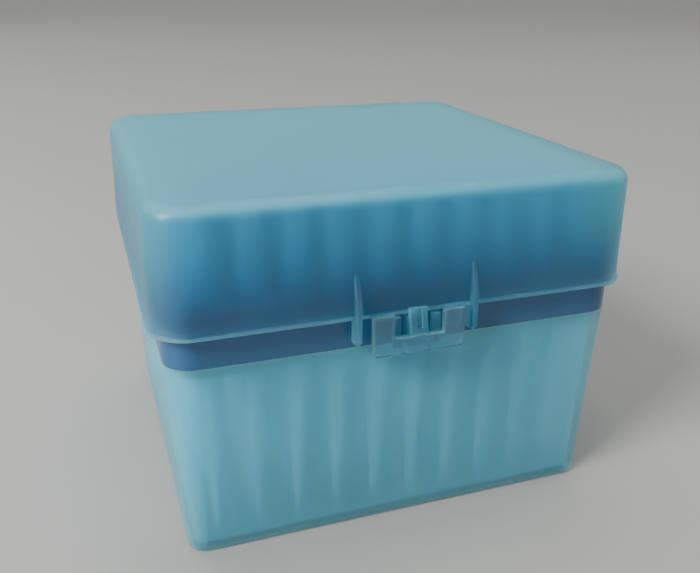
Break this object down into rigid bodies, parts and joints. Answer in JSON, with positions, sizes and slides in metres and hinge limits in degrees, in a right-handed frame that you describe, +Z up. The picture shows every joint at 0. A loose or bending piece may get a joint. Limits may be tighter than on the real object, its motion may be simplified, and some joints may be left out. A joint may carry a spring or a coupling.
{
  "type": "box of pipette tips",
  "caption": "Hinged-lid plastic box with a translucent tub and lid, a blue perforated tray, a front latch flap and a grid of hollow pipette tips standing in the tray.",
  "frame": {"origin": "centre of the base's flat underside, on the surface that the box stands on", "axes": "+Z up, -Y towards the front with the latch, +X to the right when the front is seen"},
  "size_m": [0.1044, 0.1082, 0.0771],
  "materials": {
    "clear_base": "frosted translucent polypropylene with a light teal tint",
    "clear_lid": "satin translucent polypropylene with a light teal tint",
    "clear_latch": "clear polypropylene, polished",
    "blue_tray": "opaque dark blue polypropylene, satin",
    "blue_tip": "translucent blue polypropylene, polished"
  },
  "bodies": {
    "base": {"base": "clear_base", "tip_tray": "blue_tray", "tips_row_01": "blue_tip", "tips_row_02": "blue_tip", "tips_row_03": "blue_tip", "tips_row_04": "blue_tip", "tips_row_05": "blue_tip", "tips_row_06": "blue_tip", "tips_row_07": "blue_tip", "tips_row_08": "blue_tip", "tips_row_09": "blue_tip", "tips_row_10": "blue_tip"},
    "lid": {"lid": "clear_lid"},
    "latch": {"latch": "clear_latch"}
  },
  "joints": [
    {"name": "lid_hinge", "type": "hinge", "parent": "base", "child": "lid", "pos_m": [0, 0.0509, 0.0485], "axis": [-1, 0, 0], "range_deg": [0, 110]},
    {"name": "latch_hinge", "type": "hinge", "parent": "lid", "child": "latch", "pos_m": [0, -0.0508, 0.0525], "axis": [-1, 0, 0], "range_deg": [0, 85]}
  ]
}
